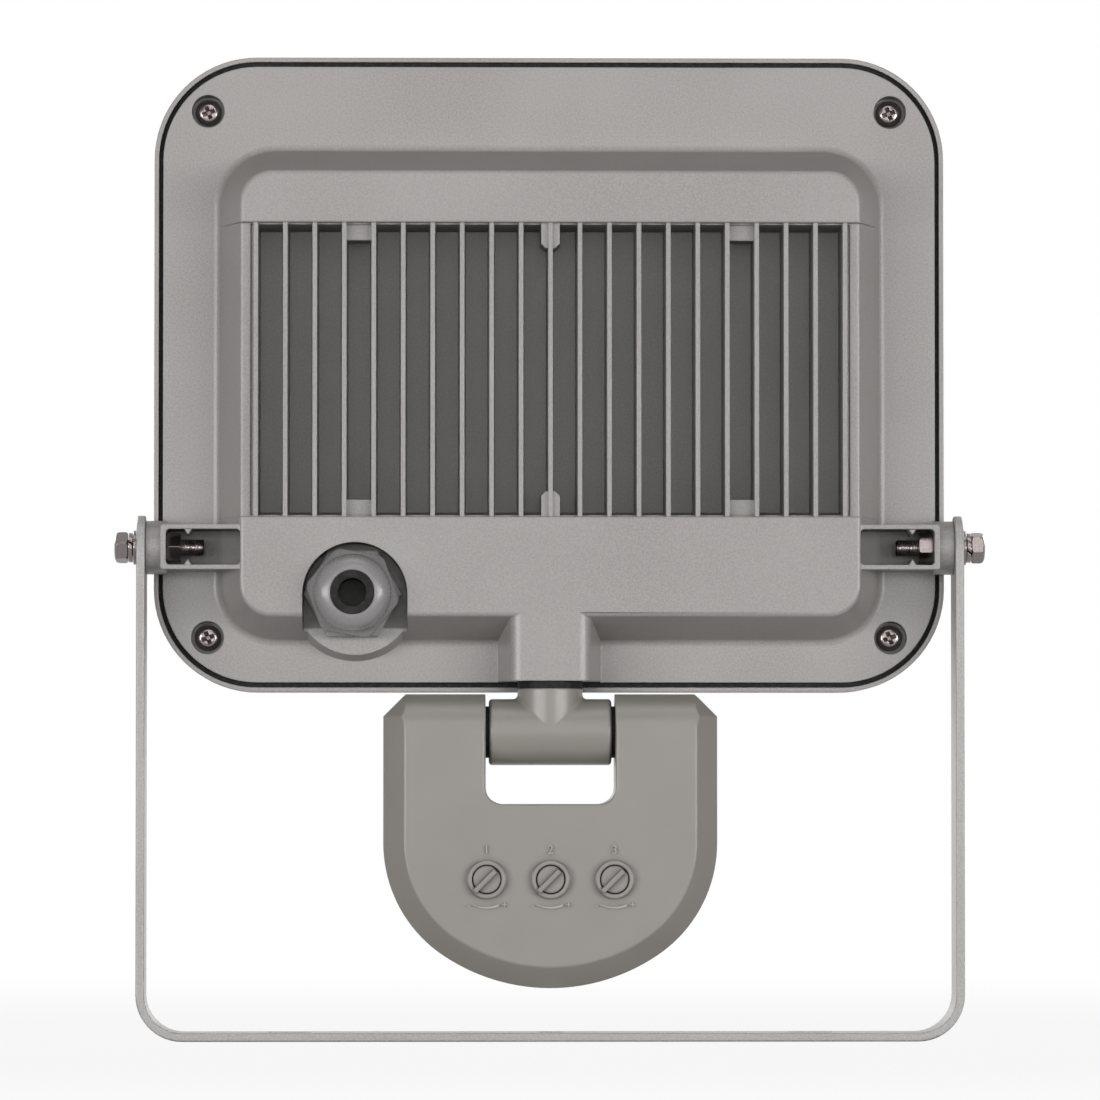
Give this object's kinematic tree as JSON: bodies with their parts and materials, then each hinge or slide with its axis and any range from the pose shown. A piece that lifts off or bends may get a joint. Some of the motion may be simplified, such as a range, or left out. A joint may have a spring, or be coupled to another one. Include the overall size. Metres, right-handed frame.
{
  "type": "led floodlight with motion sensor",
  "caption": "Flat LED floodlight with a finned die-cast back, hung in a folded U bracket, with a jointed motion sensor head on a neck below it.",
  "frame": {"origin": "centre of the middle hole at the underside of the bracket's base", "axes": "+Z from the base towards the lamp, +Y the way the lamp shines, +X to the right when seen from behind the lamp"},
  "size_m": [0.2532, 0.052, 0.2873],
  "materials": {
    "bracket_steel": "silver grey powder coat",
    "casting": "silver grey powder coat",
    "front_glass": "toughened glass",
    "black_rubber": "moulded rubber",
    "stainless": "bright stainless steel",
    "board_aluminium": "white solder mask",
    "led_phosphor": "yellow phosphor in a white package",
    "reflector_white": "matt white",
    "circuit_board": "green solder mask",
    "driver_components": "black cases",
    "terminal_plastic": "moulded polyamide",
    "gland_plastic": "grey polyamide",
    "sensor_plastic": "grey moulded ABS",
    "dial_plastic": "grey moulded plastic",
    "lens_white": "milky polyethylene"
  },
  "bodies": {
    "bracket": {"bracket": "bracket_steel"},
    "lamp": {"rear_housing": "casting", "front_frame": "casting", "glass": "front_glass", "glass_gasket": "black_rubber", "perimeter_seal": "black_rubber", "frame_screws": "stainless", "led_board": "board_aluminium", "leds": "led_phosphor", "led_board_screws": "stainless", "reflector": "reflector_white", "driver_board": "circuit_board", "driver_parts": "driver_components", "driver_screws": "stainless", "terminal_block": "terminal_plastic", "gland_body": "gland_plastic", "gland_nut": "gland_plastic", "gland_seal": "black_rubber", "pivot_bolt_left": "stainless", "pivot_bolt_right": "stainless", "flat_washer_left": "stainless", "flat_washer_right": "stainless", "spring_washer_left": "stainless", "spring_washer_right": "stainless", "pivot_nut_left": "stainless", "pivot_nut_right": "stainless"},
    "knuckle": {"knuckle": "sensor_plastic", "neck_seal": "black_rubber", "neck_washer": "stainless", "neck_nut": "stainless", "friction_washer_left": "black_rubber", "friction_washer_right": "black_rubber"},
    "sensor": {"sensor_rear_shell": "sensor_plastic", "sensor_front_shell": "sensor_plastic", "tilt_axle": "sensor_plastic", "lens": "lens_white", "sensor_board": "circuit_board", "pyro_sensor": "stainless", "photocell": "terminal_plastic", "potentiometers": "driver_components"},
    "dial_1": {"dial_1": "dial_plastic"},
    "dial_2": {"dial_2": "dial_plastic"},
    "dial_3": {"dial_3": "dial_plastic"}
  },
  "joints": [
    {"name": "lamp_tilt", "type": "hinge", "parent": "bracket", "child": "lamp", "pos_m": [0, 0, 0.1432], "axis": [1, 0, 0], "range_deg": [-150, 150]},
    {"name": "sensor_pan", "type": "hinge", "parent": "lamp", "child": "knuckle", "pos_m": [0, 0.0003, 0.107], "axis": [0, 0, 1], "range_deg": [-90, 90]},
    {"name": "sensor_tilt", "type": "hinge", "parent": "knuckle", "child": "sensor", "pos_m": [0, 0.0003, 0.0896], "axis": [1, 0, 0], "range_deg": [-45, 30]},
    {"name": "dial_1_turn", "type": "hinge", "parent": "sensor", "child": "dial_1", "pos_m": [-0.0185, -0.011, 0.0469], "axis": [0, 1, 0], "range_deg": [0, 270]},
    {"name": "dial_2_turn", "type": "hinge", "parent": "sensor", "child": "dial_2", "pos_m": [0, -0.011, 0.0469], "axis": [0, 1, 0], "range_deg": [0, 270]},
    {"name": "dial_3_turn", "type": "hinge", "parent": "sensor", "child": "dial_3", "pos_m": [0.0185, -0.011, 0.0469], "axis": [0, 1, 0], "range_deg": [0, 270]}
  ]
}
